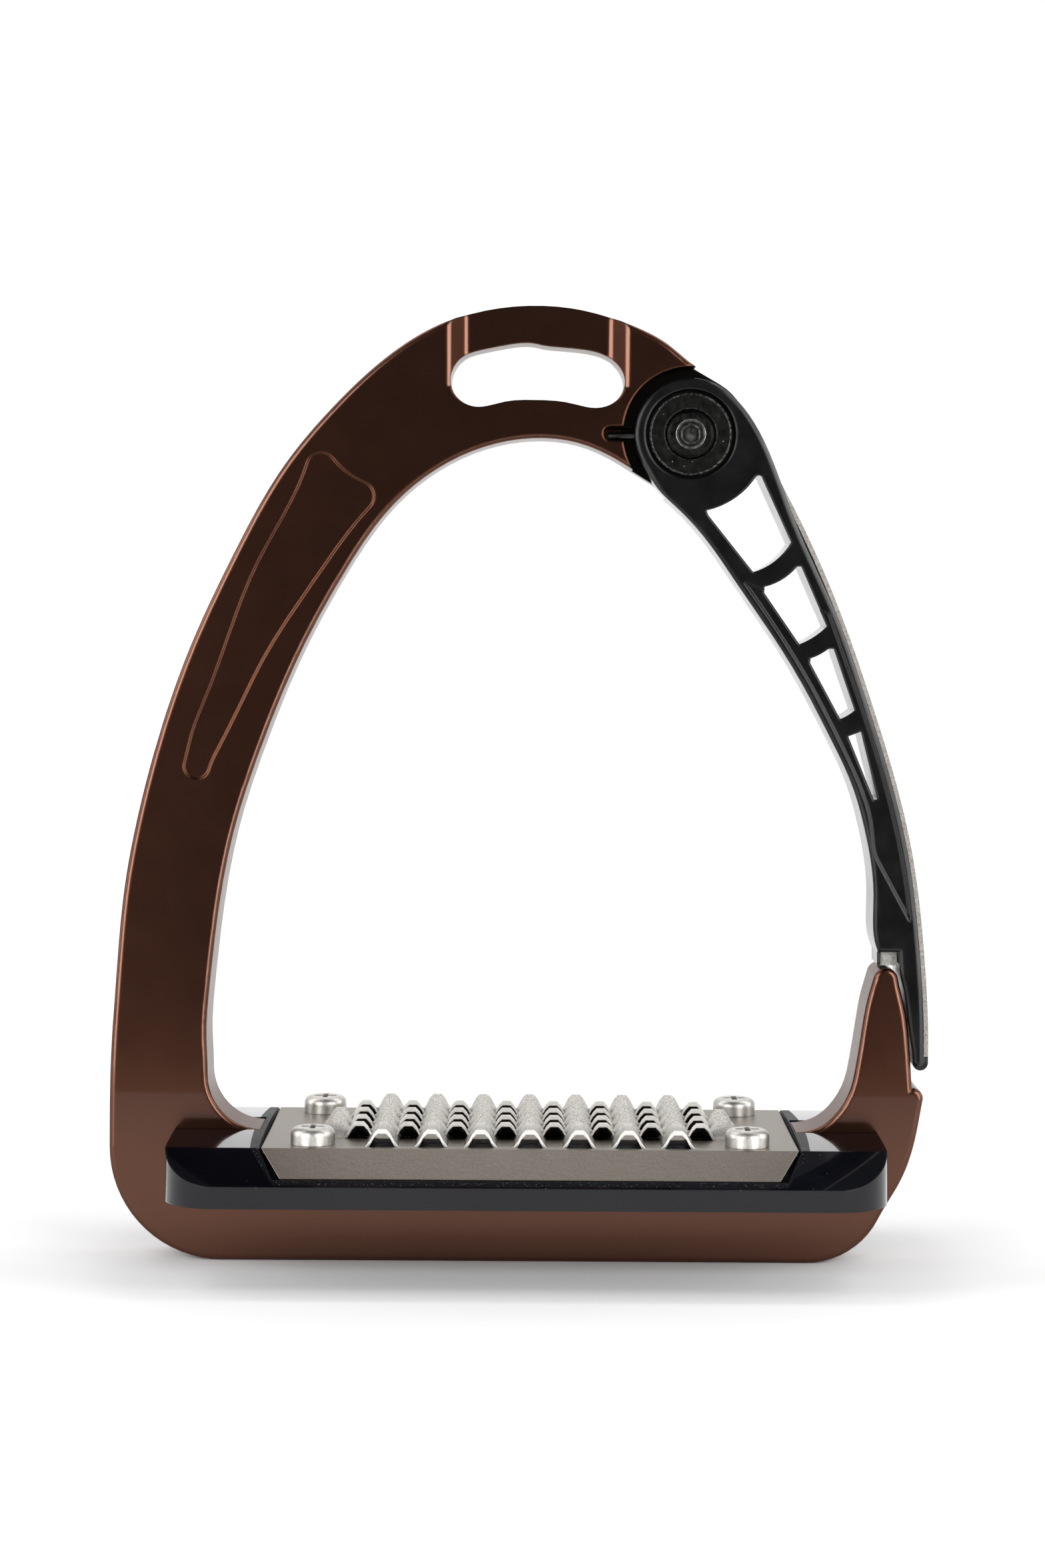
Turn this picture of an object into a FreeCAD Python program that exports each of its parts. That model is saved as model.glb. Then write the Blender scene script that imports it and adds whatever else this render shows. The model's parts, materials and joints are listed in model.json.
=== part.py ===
import FreeCAD, Part
import math
import os

# Side-opening safety stirrup iron, in millimetres.
# +X runs across the foot towards the release arm, +Y through the depth towards the back, +Z up.
# The origin is under the middle of the whole iron, on the flat face it stands on.

V = FreeCAD.Vector
doc = FreeCAD.newDocument("safety_stirrup")

# ---------------------------------------------------------------- driving dimensions

DIMENSIONS = (
    ("frame_depth", 13.0, "depth of the aluminium frame and of the arm"),
    ("edge_round", 0.9, "round along the frame's front and back edges"),
    ("bar_top", 17.0, "top of the bottom bar between its two shoulders"),
    ("shoulder_left", -47.5, "inner end of the left shoulder of the bar"),
    ("shoulder_right", 51.0, "inner end of the right shoulder of the bar"),
    ("strap_relief", 2.0, "how far the strap bar is cut back, front and back"),
    ("panel_sink", 0.55, "depth of the plain panel in the long leg"),
    ("pivot_across", 30.9, "pivot axis from the middle"),
    ("pivot_up", 152.3, "pivot axis above the base"),
    ("recess_radius", 12.5, "round seat in the frame for the arm's hub"),
    ("lug_radius", 11.2, "lug of the frame behind the hub"),
    ("lug_face", 0.3, "front face of the lug, behind mid depth"),
    ("hub_radius", 10.4, "hub of the arm"),
    ("hub_back", -0.25, "back face of the hub"),
    ("arm_seat_radius", 12.5, "round clearance of the arm's back half over the lug"),
    ("arm_edge", 0.5, "chamfer along the edges of the arm"),
    ("web_sink", 0.5, "how far the web of the arm lies under its rims"),
    ("rim_width", 1.3, "rims along both edges of the arm"),
    ("strip_thick", 0.8, "soft strip on the outer edge of the arm"),
    ("strip_width", 12.0, "soft strip, through the depth"),
    ("cap_radius", 7.66, "flange of the pivot bush"),
    ("cap_bore", 8.3, "counterbore of the hub round that flange"),
    ("cap_thick", 2.6, "thickness of the flange"),
    ("cap_front", -6.25, "front face of the flange"),
    ("barrel_radius", 4.0, "barrel of the pivot bush"),
    ("bearing_gap", 0.05, "running gap of the arm's bearing"),
    ("bearing_radius", 5.2, "outside of the arm's bearing"),
    ("bolt_radius", 2.45, "shank of the M5 screws"),
    ("bolt_hole", 2.6, "hole for an M5 screw"),
    ("thread_bore", 2.5, "bore that an M5 screw fills"),
    ("thread_depth", 13.5, "blind holes for the footbed screws"),
    ("head_radius", 4.47, "head of the pivot screw"),
    ("head_seat", 4.62, "counterbore of the bush round that head"),
    ("washer_radius", 5.0, "washers under the M5 screws and the nut"),
    ("nut_width", 8.0, "nut across its flats"),
    ("nut_seat", 5.5, "counterbore in the back of the lug for the nut"),
    ("nut_sink", 3.4, "depth of that counterbore"),
    ("hex_width", 3.2, "hexagon socket across flats"),
    ("spring_inner", 5.9, "inside of the spring's seat"),
    ("spring_outer", 8.9, "outside of the spring's seat"),
    ("spring_sink", 2.45, "floor of the spring's seat, each way from mid depth"),
    ("wire_radius", 0.7, "wire of the arm spring"),
    ("coil_radius", 7.4, "middle of the wire in the coil"),
    ("coil_pitch", 1.43, "pitch of the coil"),
    ("body_length", 129.0, "footbed body, across"),
    ("body_depth", 62.0, "footbed body, front to back"),
    ("body_corner", 9.5, "corner of the footbed body seen from above"),
    ("body_bottom", 14.2, "underside of the footbed body"),
    ("body_middle", 1.4, "middle of the footbed body from the middle of the iron"),
    ("tread_top", 23.5, "top of the tread plate"),
    ("tread_half", 48.0, "half width of the tread plate at its top"),
    ("tread_reach", 22.3, "half depth of the flat top of the tread plate"),
    ("tread_middle", 2.1, "middle of the tread plate from the middle of the iron"),
    ("sheet", 0.9, "sheet that the tread plate is pressed from"),
    ("skirt_bottom", 19.3, "lower edge of the skirts of the tread plate"),
    ("tooth_rise", 3.15, "height of a tooth over the plate"),
    ("tooth_pitch", 8.85, "teeth along one row"),
    ("screw_across", 39.1, "tread screws from the middle of the plate, across"),
    ("screw_deep", 17.5, "tread screws from the middle of the plate, in depth"),
    ("footbed_screw_across", 27.0, "footbed screws from the middle of the plate"),
    ("insert_radius", 2.8, "brass inserts for the tread screws"),
    ("insert_depth", 7.4, "holes for the inserts, under the sheet"),
)

sheet = doc.addObject("Spreadsheet::Sheet", "Sheet")
for row, (alias, value, meaning) in enumerate(DIMENSIONS, start=1):
    sheet.set(f"A{row}", meaning)
    sheet.set(f"B{row}", str(value))
    sheet.setAlias(f"B{row}", alias)
doc.recompute()
size = {alias: float(sheet.get(alias)) for alias, _, _ in DIMENSIONS}

half_depth = size["frame_depth"] / 2
pivot = (size["pivot_across"], size["pivot_up"])

# The two faces of the frame and the arm: name, offset of a sketch on it, whether a pocket runs backwards.
FACES = (("front", "Sheet.frame_depth / 2", False), ("back", "-Sheet.frame_depth / 2", True))


# ---------------------------------------------------------------- helpers

def new_body(label):
    body = doc.addObject("PartDesign::Body", label)
    body.Label = label
    return body


def new_sketch(body, name, plane, offset="0"):
    """A sketch on one of the body's own origin planes, moved along the plane's normal."""
    sketch = body.newObject("Sketcher::SketchObject", name)
    support = next(f for f in body.Origin.OriginFeatures if f.Role == plane)
    sketch.AttachmentSupport = [(support, "")]
    sketch.MapMode = "FlatFace"
    sketch.setExpression(".AttachmentOffset.Base.z", offset)
    return sketch


SHARP_CORNER = 0.9  # cosine of the largest kink that a curve smooths away
LEAD = 0.25  # how far a curve follows its neighbour's direction before it bends


def add_outline(sketch, start, *steps):
    """Close an outline from start. A step is ("line", end), ("arc", via, end) or ("curve", points).

    A curve leaves and meets its neighbours without a kink, unless they make a real corner there.
    """
    pieces = []
    here = V(*start, 0)
    for kind, *rest in steps:
        points = [here, *(V(*p, 0) for p in (rest[0] if kind == "curve" else rest))]
        if kind == "line":
            pieces.append(Part.LineSegment(*points))
        elif kind == "arc":
            pieces.append(Part.Arc(*points))
        else:
            pieces.append(points)
        here = points[-1]
    for number, piece in enumerate(pieces):
        if isinstance(piece, list):
            before = pieces[number - 1]
            after = pieces[(number + 1) % len(pieces)]
            piece = smooth_curve(piece, before, after)
        sketch.addGeometry(piece)


def smooth_curve(points, before, after):
    free = Part.BSplineCurve()
    free.interpolate(points)
    led = list(points)
    if not isinstance(after, list):
        wanted = after.tangent(after.FirstParameter)[0]
        if wanted.dot(free.tangent(free.LastParameter)[0]) > SHARP_CORNER:
            led.insert(-1, points[-1] - wanted * LEAD)
    if not isinstance(before, list):
        wanted = before.tangent(before.LastParameter)[0]
        if wanted.dot(free.tangent(free.FirstParameter)[0]) > SHARP_CORNER:
            led.insert(1, points[0] + wanted * LEAD)
    curve = Part.BSplineCurve()
    curve.interpolate(led)
    return curve


def add_circle(sketch, centre, radius):
    sketch.addGeometry(Part.Circle(V(*centre, 0), V(0, 0, 1), radius))


def add_polygon(sketch, points):
    add_outline(sketch, points[-1], *(("line", point) for point in points))


def add_box(sketch, left, right, low, high):
    add_polygon(sketch, ((right, low), (right, high), (left, high), (left, low)))


def add_ring_loop(sketch, points):
    """A closed smooth loop through points."""
    spline = Part.BSplineCurve()
    spline.interpolate(Points=[V(*p, 0) for p in points], PeriodicFlag=True)
    sketch.addGeometry(spline)


def pad(body, sketch, length, both_ways=False, back=False):
    feature = body.newObject("PartDesign::Pad", sketch.Name + "_pad")
    feature.Profile = sketch
    feature.Midplane = both_ways
    feature.Reversed = back
    feature.setExpression("Length", length)
    doc.recompute()
    return feature


def pocket(body, sketch, length, both_ways=False, back=False):
    """A pocket that must take something away."""
    before = body.Shape.Volume
    feature = body.newObject("PartDesign::Pocket", sketch.Name + "_pocket")
    feature.Profile = sketch
    feature.Midplane = both_ways
    feature.Reversed = back
    feature.setExpression("Length", length)
    doc.recompute()
    if body.Shape.Volume > before - 1e-3:
        raise RuntimeError(f"{feature.Name} cuts nothing")
    return feature


def edges_where(shape, test):
    """Names of the edges whose ends and middle all pass the test."""
    names = []
    for number, edge in enumerate(shape.Edges, start=1):
        span = (edge.FirstParameter, (edge.FirstParameter + edge.LastParameter) / 2, edge.LastParameter)
        if all(test(edge.valueAt(t)) for t in span):
            names.append(f"Edge{number}")
    return names


def dress(body, kind, base, names, amount):
    """A Fillet or a Chamfer on named edges of a feature."""
    feature = body.newObject("PartDesign::" + kind, f"{base.Name}_{kind.lower()}")
    feature.Base = (base, names)
    feature.setExpression("Radius" if kind == "Fillet" else "Size", amount)
    doc.recompute()
    return feature


def on_faces(point):
    return abs(abs(point.y) - half_depth) < 1e-4


def polar(centre, radius, degrees):
    angle = math.radians(degrees)
    return (centre[0] + radius * math.cos(angle), centre[1] + radius * math.sin(angle))


def tangent_point(outside, centre, radius, side):
    """Where a straight line from a point outside touches a circle; side is 1 or -1."""
    across = outside[0] - centre[0]
    up = outside[1] - centre[1]
    turn = math.acos(radius / math.hypot(across, up))
    return polar(centre, radius, math.degrees(math.atan2(up, across) + side * turn))


def beside(points, distance):
    """The line of points moved sideways, to the left of its direction."""
    moved = []
    for number, (across, up) in enumerate(points):
        back = points[max(number - 1, 0)]
        ahead = points[min(number + 1, len(points) - 1)]
        run = ahead[0] - back[0]
        rise = ahead[1] - back[1]
        length = math.hypot(run, rise)
        moved.append((across - rise / length * distance, up + run / length * distance))
    return moved


def cylinder(name, radius, height, place, axis=V(0, 1, 0)):
    """A Part::Cylinder standing on place along axis; radius, height and place are expressions."""
    solid = doc.addObject("Part::Cylinder", name)
    solid.setExpression("Radius", radius)
    solid.setExpression("Height", height)
    solid.Placement = FreeCAD.Placement(V(0, 0, 0), FreeCAD.Rotation(V(0, 0, 1), axis))
    for letter, expression in zip("xyz", place):
        solid.setExpression(f".Placement.Base.{letter}", str(expression))
    return solid


def joined(kind, name, shapes):
    """A Part::MultiFuse or Part::MultiCommon of several objects."""
    result = doc.addObject(kind, name)
    result.Shapes = shapes
    return result


def cut(name, base, tool):
    result = doc.addObject("Part::Cut", name)
    result.Base = base
    result.Tool = tool
    return result


# ---------------------------------------------------------------- frame

ARCH_OUTER = ((-74.9, 40.5), (-74.2, 51.5), (-72.7, 68.5), (-69.6, 84.8), (-60.9, 112.7), (-53.0, 129.9),
              (-43.8, 146.2), (-34.7, 157.2), (-25.1, 166.2), (-15.3, 172.3), (-5.6, 175.2), (2.2, 175.9),
              (11.6, 174.95), (20.2, 172.2), (26.4, 169.0), (32.4, 164.4))
ARCH_INNER = ((10.5, 150.5), (1.9, 151.4), (-7.8, 149.5), (-16.4, 145.2), (-24.0, 138.7), (-32.4, 126.9),
              (-41.0, 110.9), (-48.0, 93.6), (-52.3, 80.3), (-55.2, 65.8), (-57.0, 50.0), (-57.5, 41.0),
              (-57.1, 34.0))
SLOT = ((2.6, 168.8), (11.4, 167.8), (16.5, 165.9), (18.7, 162.2), (17.3, 158.5), (13.7, 157.0),
        (8.5, 157.9), (2.4, 158.4), (-3.6, 158.0), (-8.7, 157.1), (-12.0, 158.7), (-13.3, 162.3),
        (-11.4, 166.1), (-6.6, 167.9))


RELIEF_LEFT = -9.8
RELIEF_RIGHT = 15.4
RELIEF_BEND = 2.2
RELIEF_WALL = 31.0  # steepest part of the sweep at each end of the relief, in degrees


def relief_sweep(share):
    """Run and drop along the bend of the relief's end, at a share of its full turn."""
    angle = math.radians(RELIEF_WALL * share)
    return RELIEF_BEND * math.sin(angle), RELIEF_BEND * (1 - math.cos(angle))


def add_relief(sketch, side):
    """What is cut off one face round the strap: a flat that sweeps out to the face at both ends."""
    depth = size["strap_relief"]
    run, drop = relief_sweep(1)
    via_run, via_drop = relief_sweep(0.5)
    sweep = 2 * run + (depth - 2 * drop) / math.tan(math.radians(RELIEF_WALL))
    profile = ((0, 0), (via_run, via_drop), (run, drop), (sweep - run, depth - drop),
               (sweep - via_run, depth - via_drop), (sweep, depth))
    left = [(RELIEF_LEFT - sweep + across, side * (half_depth - down)) for across, down in profile]
    right = [(RELIEF_RIGHT + RELIEF_LEFT - x, y) for x, y in reversed(left)]
    outside = side * (half_depth + 5)
    add_outline(
        sketch, left[0],
        ("arc", left[1], left[2]),
        ("line", left[3]),
        ("arc", left[4], left[5]),
        ("line", right[0]),
        ("arc", right[1], right[2]),
        ("line", right[3]),
        ("arc", right[4], right[5]),
        ("line", (right[5][0], outside)),
        ("line", (left[0][0], outside)),
        ("line", left[0]),
    )


def make_frame():
    """One casting: the long leg, the arch with its leather slot, the lug, the bar and the short stub."""
    body = new_body("frame")
    arch_end = ARCH_OUTER[-1]
    inner_end = (18.7, 146.7)
    lug_low = tangent_point(inner_end, pivot, size["lug_radius"], 1)
    lug_high = tangent_point(arch_end, pivot, size["lug_radius"], -1)
    lug_side = polar(pivot, size["lug_radius"], 0)

    outline = new_sketch(body, "frame_outline", "XZ_Plane")
    corner = 20.8
    corner_left = (-54.4, corner)
    toe = 14.8
    corner_right = (53.0, toe)
    heel = 10.0
    corner_inner = (-47.2, 24.0 + heel)
    add_outline(
        outline, polar(corner_left, corner, -90),
        ("line", polar(corner_right, toe, -90)),
        ("arc", polar(corner_right, toe, -60), polar(corner_right, toe, -27)),
        ("curve", ((70.2, 15.0), (72.7, 21.8), (74.3, 30.0))),
        ("arc", (73.8, 31.7), (72.3, 32.3)),
        ("curve", ((71.75, 40.5), (70.9, 46.9), (69.6, 52.5))),
        ("arc", (67.4, 54.35), (65.2, 52.7)),
        ("curve", ((64.0, 48.5), (62.9, 42.2), (62.0, 36.6), (60.9, 31.8), (58.4, 27.5), (55.2, 24.9),
                   (51.0, 24.0))),
        ("line", polar(corner_inner, heel, -90)),
        ("arc", polar(corner_inner, heel, -135), polar(corner_inner, heel, -180)),
        ("curve", (*reversed(ARCH_INNER[:-1]), inner_end)),
        ("line", lug_low),
        ("arc", lug_side, lug_high),
        ("line", arch_end),
        ("curve", (*reversed(ARCH_OUTER[:-1]), (-75.2, 30.0), polar(corner_left, corner, -180))),
        ("arc", polar(corner_left, corner, -135), polar(corner_left, corner, -90)),
    )
    pad(body, outline, "Sheet.frame_depth", both_ways=True)
    blank = body.Tip
    dress(body, "Fillet", blank, edges_where(blank.Shape, on_faces), "Sheet.edge_round")

    seat = new_sketch(body, "bar_seat", "XZ_Plane")
    add_box(seat, size["shoulder_left"], size["shoulder_right"], size["bar_top"], 40.0)
    pocket(body, seat, "Sheet.frame_depth + 2", both_ways=True)

    relief_top = 180.0
    relief_low = 160.8
    channel = new_sketch(body, "strap_relief", "XY_Plane", str(relief_low))
    for side in (-1, 1):
        add_relief(channel, side)
    pocket(body, channel, str(relief_top - relief_low), back=True)

    slot = new_sketch(body, "leather_slot", "XZ_Plane")
    add_ring_loop(slot, SLOT)
    pocket(body, slot, "Sheet.frame_depth + 2", both_ways=True)

    recess = new_sketch(body, "hub_recess", "XZ_Plane", "Sheet.frame_depth / 2")
    add_circle(recess, pivot, size["recess_radius"])
    pocket(body, recess, "Sheet.frame_depth / 2 + Sheet.lug_face")

    for name, offset, back in FACES:
        panel = new_sketch(body, f"leg_panel_{name}", "XZ_Plane", offset)
        add_outline(
            panel, (-61.8, 91.4),
            ("curve", ((-60.8, 95.6), (-57.4, 104.9), (-48.7, 128.0), (-39.6, 146.6))),
            ("arc", (-37.3, 148.5), (-34.9, 147.5)),
            ("curve", ((-32.6, 145.2), (-29.0, 143.1))),
            ("arc", (-27.3, 141.0), (-28.0, 138.6)),
            ("curve", ((-38.2, 125.0), (-47.4, 110.6), (-54.9, 95.4), (-57.3, 90.1))),
            ("arc", (-60.2, 88.5), (-61.8, 91.4)),
        )
        pocket(body, panel, "Sheet.panel_sink", back=back)

    notch = new_sketch(body, "spring_notch", "XZ_Plane", "Sheet.frame_depth / 2")
    notch_half = 1.45
    notch_end = pivot[0] - 16.1
    notch_near = pivot[0] - 8.0
    add_outline(
        notch, (notch_near, pivot[1] - notch_half),
        ("line", (notch_near, pivot[1] + notch_half)),
        ("line", (notch_end + notch_half, pivot[1] + notch_half)),
        ("arc", (notch_end, pivot[1]), (notch_end + notch_half, pivot[1] - notch_half)),
        ("line", (notch_near, pivot[1] - notch_half)),
    )
    pocket(body, notch, "Sheet.frame_depth / 2 + Sheet.spring_sink + 0.15")

    groove = new_sketch(body, "lug_spring_seat", "XZ_Plane", "-Sheet.lug_face")
    add_circle(groove, pivot, size["spring_outer"])
    add_circle(groove, pivot, size["spring_inner"])
    pocket(body, groove, "Sheet.spring_sink + 0.15 - Sheet.lug_face")

    bore = new_sketch(body, "pivot_bore", "XZ_Plane")
    add_circle(bore, pivot, size["bolt_hole"])
    pocket(body, bore, "Sheet.frame_depth + 2", both_ways=True)

    nut_seat = new_sketch(body, "nut_seat", "XZ_Plane", "-Sheet.frame_depth / 2")
    add_circle(nut_seat, pivot, size["nut_seat"])
    pocket(body, nut_seat, "Sheet.nut_sink", back=True)

    threads = new_sketch(body, "footbed_threads", "XY_Plane", "Sheet.bar_top")
    for side in (-1, 1):
        across = size["tread_middle"] + side * size["footbed_screw_across"]
        add_circle(threads, (across, 0), size["bolt_hole"])
    pocket(body, threads, "Sheet.thread_depth")
    return body


# ---------------------------------------------------------------- safety arm

ARM_OUTER = ((50.6, 137.6), (58.4, 120.2), (64.7, 102.4), (69.2, 87.8), (72.4, 73.7), (73.8, 63.3),
             (74.6, 54.4), (75.1, 46.2), (75.2, 38.1))
ARM_INNER = ((65.9, 57.3), (65.1, 60.2), (65.0, 67.0), (64.5, 73.7), (63.3, 79.8), (61.0, 87.7), (56.7, 96.9),
             (51.9, 106.0), (46.2, 115.2), (39.9, 124.3), (33.6, 133.2), (28.9, 138.3), (24.6, 142.6))
SHOULDER = (69.7, 57.3)
SPRING_START = 180.0  # direction of the spring's back leg from the pivot, in degrees
SPRING_TURNS = 2.33
SPRING_END = (SPRING_START + 360 * SPRING_TURNS) % 360 - 360
STEM = (68.0, 0.0)
STEM_RADIUS = 1.4

hub_touch = tangent_point(ARM_OUTER[0], pivot, size["hub_radius"], 1)
inner_touch = tangent_point(ARM_INNER[-1], pivot, size["hub_radius"], -1)
hub_touch_angle = math.degrees(math.atan2(hub_touch[1] - pivot[1], hub_touch[0] - pivot[0]))
sunk_angle = hub_touch_angle + math.degrees(math.acos(1 - size["strip_thick"] / size["hub_radius"]))
hub_corner = polar(pivot, size["hub_radius"], sunk_angle)
arm_line = (hub_corner, *beside(ARM_OUTER, -size["strip_thick"]))


def lug_clearance(body, name):
    """The back half of anything on the arm stays clear of the lug."""
    seat = new_sketch(body, name, "XZ_Plane", "-Sheet.hub_back")
    add_circle(seat, pivot, size["arm_seat_radius"])
    pocket(body, seat, "Sheet.frame_depth")


def make_arm():
    body = new_body("safety_arm")
    outline = new_sketch(body, "arm_outline", "XZ_Plane")
    add_outline(
        outline, hub_corner,
        ("curve", arm_line[1:]),
        ("line", (74.4, 37.2)),
        ("arc", (73.4, 36.2), (72.4, 37.2)),
        ("curve", ((71.95, 41.0), (71.2, 46.9), (70.45, 51.2), (69.95, 53.6))),
        ("line", SHOULDER),
        ("line", ARM_INNER[0]),
        ("curve", (*ARM_INNER[1:], inner_touch)),
        ("arc", polar(pivot, size["hub_radius"], 110), hub_corner),
    )
    pad(body, outline, "Sheet.frame_depth", both_ways=True)
    blank = body.Tip
    dress(body, "Chamfer", blank, edges_where(blank.Shape, on_faces), "Sheet.arm_edge")

    toe = new_sketch(body, "tongue_toe", "XZ_Plane")
    strip_end = ARM_OUTER[-1]
    add_outline(
        toe, (73.2, strip_end[1]),
        ("line", strip_end),
        ("line", (strip_end[0], 37.0)),
        ("arc", (73.78, 35.58), (72.36, 37.0)),
        ("line", (73.2, strip_end[1])),
    )
    pad(body, toe, "Sheet.strip_width", both_ways=True)

    lip = new_sketch(body, "pad_lip", "XZ_Plane")
    add_box(lip, 65.9, 66.5, 54.9, 58.5)
    pad(body, lip, "9", both_ways=True)

    windows = new_sketch(body, "arm_windows", "XZ_Plane")
    hub_rim = 14.3
    add_outline(
        windows, polar(pivot, hub_rim, -78),
        ("arc", polar(pivot, hub_rim, -56), polar(pivot, hub_rim, -33)),
        ("arc", (43.6, 144.75), (44.1, 144.1)),
        ("line", (49.4, 132.5)),
        ("arc", (46.6, 129.2), (42.5, 127.0)),
        ("line", (34.2, 137.4)),
        ("line", polar(pivot, hub_rim, -78)),
    )
    add_outline(
        windows, (44.6, 124.3),
        ("arc", (47.9, 125.7), (50.6, 128.1)),
        ("line", (51.3, 128.1)),
        ("line", (56.1, 117.1)),
        ("arc", (53.8, 115.2), (51.1, 113.8)),
        ("line", (44.6, 123.2)),
        ("line", (44.6, 124.3)),
    )
    add_outline(
        windows, (53.2, 111.2),
        ("arc", (55.0, 112.0), (56.5, 113.0)),
        ("line", (57.4, 113.0)),
        ("line", (61.3, 101.7)),
        ("arc", (60.1, 100.8), (58.7, 100.1)),
        ("line", (53.1, 110.4)),
        ("line", (53.2, 111.2)),
    )
    add_outline(
        windows, (60.2, 96.9),
        ("line", (62.5, 97.8)),
        ("line", (65.6, 85.4)),
        ("line", (65.0, 85.2)),
        ("line", (60.2, 96.9)),
    )
    pocket(body, windows, "Sheet.frame_depth + 2", both_ways=True)

    for name, offset, back in FACES:
        web = new_sketch(body, f"arm_web_{name}", "XZ_Plane", offset)
        outer = beside(ARM_OUTER[1:6], -size["strip_thick"] - size["rim_width"])
        inner = beside(ARM_INNER[3:10], -size["rim_width"])
        add_outline(
            web, outer[0],
            ("curve", outer[1:]),
            ("line", inner[0]),
            ("curve", inner[1:]),
            ("line", outer[0]),
        )
        pocket(body, web, "Sheet.web_sink", back=back)

    lug_clearance(body, "arm_lug_clearance")

    flange_seat = new_sketch(body, "bush_counterbore", "XZ_Plane", "Sheet.frame_depth / 2")
    add_circle(flange_seat, pivot, size["cap_bore"])
    pocket(body, flange_seat, "Sheet.frame_depth / 2 + Sheet.cap_front + Sheet.cap_thick + 0.05")

    bore = new_sketch(body, "bearing_bore", "XZ_Plane", "Sheet.frame_depth / 2")
    add_circle(bore, pivot, size["bearing_radius"])
    pocket(body, bore, "Sheet.frame_depth")

    seat = new_sketch(body, "arm_spring_seat", "XZ_Plane", "-Sheet.hub_back")
    add_circle(seat, pivot, size["spring_outer"])
    add_circle(seat, pivot, size["spring_inner"])
    pocket(body, seat, "Sheet.spring_sink + Sheet.hub_back", back=True)

    slot = new_sketch(body, "spring_leg_slot", "XZ_Plane", "-Sheet.hub_back")
    half_width = 0.85
    near = 8.0
    far = 11.2
    near_turn = math.degrees(math.asin(half_width / near))
    far_turn = math.degrees(math.asin(half_width / far))
    add_polygon(slot, [polar(pivot, near, SPRING_END - near_turn), polar(pivot, far, SPRING_END - far_turn),
                       polar(pivot, far, SPRING_END + far_turn), polar(pivot, near, SPRING_END + near_turn)])
    pocket(body, slot, "Sheet.spring_sink + Sheet.hub_back", back=True)

    stem = new_sketch(body, "pad_stem_hole", "XY_Plane", str(SHOULDER[1]))
    add_circle(stem, STEM, STEM_RADIUS)
    pocket(body, stem, "4", back=True)
    return body


def make_strip():
    body = new_body("arm_side_strip")
    band = new_sketch(body, "strip_band", "XZ_Plane")
    add_outline(
        band, hub_corner,
        ("arc", polar(pivot, size["hub_radius"], (hub_touch_angle + sunk_angle) / 2), hub_touch),
        ("curve", ARM_OUTER),
        ("line", arm_line[-1]),
        ("curve", tuple(reversed(arm_line[:-1]))),
    )
    pad(body, band, "Sheet.strip_width", both_ways=True)
    lug_clearance(body, "strip_lug_clearance")
    return body


def make_stop_pad():
    """A soft block between the arm's shoulder and the nose of the stub, held by its stem."""
    body = new_body("stop_pad")
    bottom = 54.65
    block = new_sketch(body, "pad_block", "XY_Plane", str(bottom))
    add_box(block, 66.5, 69.6, -4.0, 4.0)
    pad(body, block, str(SHOULDER[1] - bottom))
    stem = new_sketch(body, "pad_stem", "XY_Plane", str(SHOULDER[1] - 1))
    add_circle(stem, STEM, STEM_RADIUS)
    pad(body, stem, "4.8")
    return body


# ---------------------------------------------------------------- pivot

def turned(label, rings, chamfers=()):
    """A round piece on the pivot's axis. Each ring is (kind, radius, front, back)."""
    body = new_body(label)
    for number, (kind, radius, front, back) in enumerate(rings):
        sketch = new_sketch(body, f"{label}_{number}", "XZ_Plane", f"-({front})")
        add_circle(sketch, pivot, size[radius] if isinstance(radius, str) else radius)
        if kind == "add":
            pad(body, sketch, f"({back}) - ({front})", back=True)
        else:
            pocket(body, sketch, f"({back}) - ({front})")
    for radius, y, amount in chamfers:
        base = body.Tip
        names = edges_where(base.Shape, lambda p: abs(p.y - y) < 1e-4 and abs(
            math.hypot(p.x - pivot[0], p.z - pivot[1]) - radius) < 1e-4)
        dress(body, "Chamfer", base, names, str(amount))
    return body


def hexagon(sketch, centre, across_flats, turn):
    add_polygon(sketch, [polar(centre, across_flats / math.sqrt(3), turn + 60 * k) for k in range(6)])


NUT_FACE = "Sheet.frame_depth / 2 - Sheet.nut_sink + 0.7"  # where the nut bears on its washer


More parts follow.
